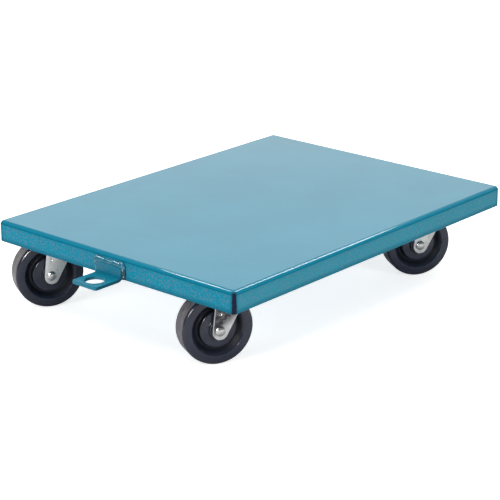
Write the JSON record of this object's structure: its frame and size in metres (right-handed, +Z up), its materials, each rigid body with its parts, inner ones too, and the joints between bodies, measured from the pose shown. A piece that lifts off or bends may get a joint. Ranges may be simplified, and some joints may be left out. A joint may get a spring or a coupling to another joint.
{
  "type": "furniture dolly",
  "caption": "Low steel furniture dolly: a flat folded-sheet deck with a welded tow tab at one end, on swivel casters with hard black wheels.",
  "frame": {"origin": "on the floor, under the middle of the overall footprint (deck and tow tab together)", "axes": "+Z up, +X towards the tow tab end, +Y to the left of someone who faces +X"},
  "size_m": [0.6616, 0.4572, 0.131],
  "materials": {
    "teal_enamel": "semi-gloss teal enamel with fine orange peel",
    "zinc_plate": "bright zinc plate on pressed steel, slightly cloudy",
    "bearing_steel": "polished bearing steel under a film of grease",
    "black_wheel": "hard moulded black wheel, semi-gloss, scuffed on the tread"
  },
  "bodies": {
    "deck": {"deck_pan": "teal_enamel", "tow_tab": "teal_enamel", "tow_tab_weld": "teal_enamel", "front_left_top_plate": "zinc_plate", "front_left_kingpin": "zinc_plate", "front_left_lower_cup": "zinc_plate", "front_left_upper_balls": "bearing_steel", "front_left_lower_balls": "bearing_steel", "front_left_nut_1": "zinc_plate", "front_left_nut_2": "zinc_plate", "front_left_nut_3": "zinc_plate", "front_left_nut_4": "zinc_plate", "front_right_top_plate": "zinc_plate", "front_right_kingpin": "zinc_plate", "front_right_lower_cup": "zinc_plate", "front_right_upper_balls": "bearing_steel", "front_right_lower_balls": "bearing_steel", "front_right_nut_1": "zinc_plate", "front_right_nut_2": "zinc_plate", "front_right_nut_3": "zinc_plate", "front_right_nut_4": "zinc_plate", "rear_left_top_plate": "zinc_plate", "rear_left_kingpin": "zinc_plate", "rear_left_lower_cup": "zinc_plate", "rear_left_upper_balls": "bearing_steel", "rear_left_lower_balls": "bearing_steel", "rear_left_nut_1": "zinc_plate", "rear_left_nut_2": "zinc_plate", "rear_left_nut_3": "zinc_plate", "rear_left_nut_4": "zinc_plate", "rear_right_top_plate": "zinc_plate", "rear_right_kingpin": "zinc_plate", "rear_right_lower_cup": "zinc_plate", "rear_right_upper_balls": "bearing_steel", "rear_right_lower_balls": "bearing_steel", "rear_right_nut_1": "zinc_plate", "rear_right_nut_2": "zinc_plate", "rear_right_nut_3": "zinc_plate", "rear_right_nut_4": "zinc_plate"},
    "front_left_swivel": {"front_left_fork": "zinc_plate", "front_left_axle": "zinc_plate", "front_left_bushing": "bearing_steel"},
    "front_left_wheel_assembly": {"front_left_wheel": "black_wheel", "front_left_roller_bearing": "bearing_steel"},
    "front_right_swivel": {"front_right_fork": "zinc_plate", "front_right_axle": "zinc_plate", "front_right_bushing": "bearing_steel"},
    "front_right_wheel_assembly": {"front_right_wheel": "black_wheel", "front_right_roller_bearing": "bearing_steel"},
    "rear_left_swivel": {"rear_left_fork": "zinc_plate", "rear_left_axle": "zinc_plate", "rear_left_bushing": "bearing_steel"},
    "rear_left_wheel_assembly": {"rear_left_wheel": "black_wheel", "rear_left_roller_bearing": "bearing_steel"},
    "rear_right_swivel": {"rear_right_fork": "zinc_plate", "rear_right_axle": "zinc_plate", "rear_right_bushing": "bearing_steel"},
    "rear_right_wheel_assembly": {"rear_right_wheel": "black_wheel", "rear_right_roller_bearing": "bearing_steel"}
  },
  "joints": [
    {"name": "front_left_turn", "type": "hinge", "parent": "deck", "child": "front_left_swivel", "pos_m": [0.2026, 0.1651, 0.11], "axis": [0, 0, 1], "continuous": true},
    {"name": "front_left_roll", "type": "hinge", "parent": "front_left_swivel", "child": "front_left_wheel_assembly", "pos_m": [0.23236, 0.15007, 0.0508], "axis": [0.4509, 0.8926, 0], "continuous": true},
    {"name": "front_right_turn", "type": "hinge", "parent": "deck", "child": "front_right_swivel", "pos_m": [0.2026, -0.1651, 0.11], "axis": [0, 0, 1], "continuous": true},
    {"name": "front_right_roll", "type": "hinge", "parent": "front_right_swivel", "child": "front_right_wheel_assembly", "pos_m": [0.23217, -0.18049, 0.0508], "axis": [0.4617, 0.887, 0], "continuous": true},
    {"name": "rear_left_turn", "type": "hinge", "parent": "deck", "child": "rear_left_swivel", "pos_m": [-0.2546, 0.1651, 0.11], "axis": [0, 0, 1], "continuous": true},
    {"name": "rear_left_roll", "type": "hinge", "parent": "rear_left_swivel", "child": "rear_left_wheel_assembly", "pos_m": [-0.22651, 0.14714, 0.0508], "axis": [0.5388, 0.8425, 0], "continuous": true},
    {"name": "rear_right_turn", "type": "hinge", "parent": "deck", "child": "rear_right_swivel", "pos_m": [-0.2546, -0.1651, 0.11], "axis": [0, 0, 1], "continuous": true},
    {"name": "rear_right_roll", "type": "hinge", "parent": "rear_right_swivel", "child": "rear_right_wheel_assembly", "pos_m": [-0.22544, -0.18126, 0.0508], "axis": [0.4848, 0.8746, 0], "continuous": true}
  ]
}
